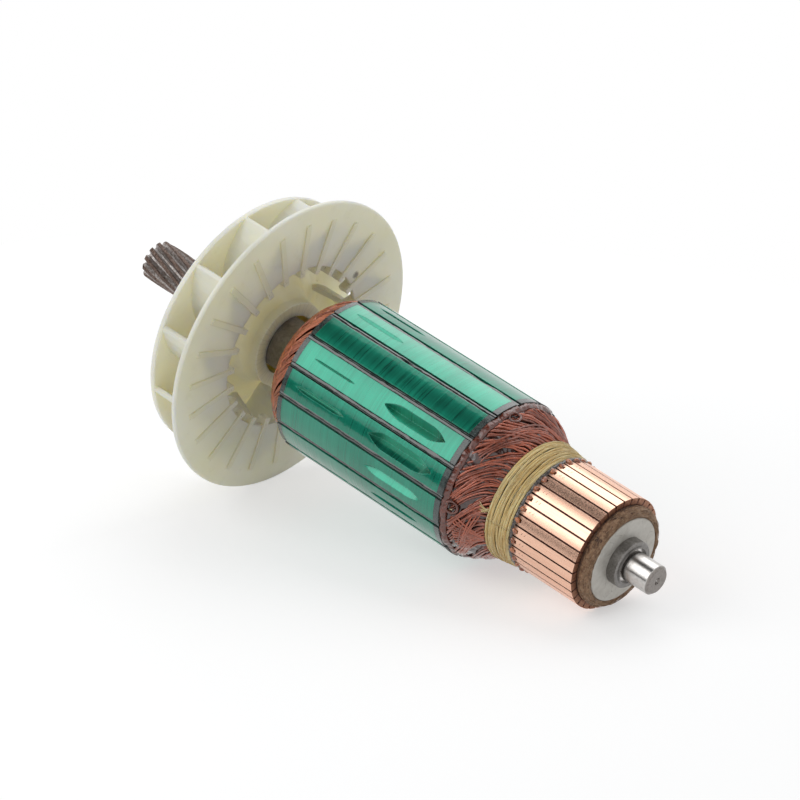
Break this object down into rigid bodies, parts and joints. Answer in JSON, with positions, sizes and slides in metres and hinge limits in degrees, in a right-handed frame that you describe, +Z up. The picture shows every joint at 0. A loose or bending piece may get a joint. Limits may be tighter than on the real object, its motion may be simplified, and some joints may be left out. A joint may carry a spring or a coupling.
{
  "type": "motor armature",
  "caption": "Wound rotor of a universal motor: shaft with helical pinion, slotted core with copper coils, twine-bound leads, copper commutator and a closed radial cooling fan.",
  "frame": {"origin": "on the shaft axis, at the middle of the commutator-end bearing seat", "axes": "+X along the shaft from the commutator to the pinion, +Z up, +Y by the right-hand rule"},
  "size_m": [0.2224, 0.1022, 0.1022],
  "materials": {
    "shaft_steel": "ground and oiled",
    "collar_steel": "dark, satin",
    "washer_steel": "dull",
    "fibre": "fibrous resin",
    "copper": "turned, polished",
    "mica": "matte",
    "moulding": "matte",
    "bush_steel": "turned",
    "bead_varnish": "clear amber varnish over solder",
    "varnished_wire": "varnished",
    "support_board": "pressed board",
    "tape": "varnished tape",
    "twine": "waxed twine",
    "varnished_coils": "coils sunk in dark varnish",
    "coil_wire": "enamelled wire under glossy varnish",
    "red_resin": "glossy resin",
    "black_board": "glossy",
    "liner_paper": "pressed paper",
    "wedge_resin": "glossy",
    "coated_laminations": "glossy clear green coating",
    "sleeve_board": "matte",
    "fan_bush_steel": "dark, satin",
    "nylon": "translucent pale nylon"
  },
  "bodies": {
    "root": {"shaft": "shaft_steel", "spacer_collar": "collar_steel", "end_washer": "washer_steel", "front_ring": "fibre", "commutator_bars": "copper", "mica_segments": "mica", "commutator_moulding": "moulding", "commutator_bush": "bush_steel", "rear_ring": "moulding", "riser_beads": "bead_varnish", "lead_wires": "varnished_wire", "lead_support": "support_board", "lead_tape": "tape", "binding_twine": "twine", "twine_tail": "twine", "head_core_front": "varnished_coils", "coil_bundles_front": "coil_wire", "resin_ring": "red_resin", "end_plate_front": "black_board", "end_plate_rear": "black_board", "slot_liners": "liner_paper", "slot_coils_lower": "varnished_wire", "slot_coils_upper": "varnished_wire", "slot_wedges": "wedge_resin", "core_stack": "coated_laminations", "shaft_sleeve": "sleeve_board", "head_core_rear": "varnished_coils", "coil_bundles_rear": "coil_wire", "fan_bush": "fan_bush_steel", "fan": "nylon"}
  },
  "joints": []
}
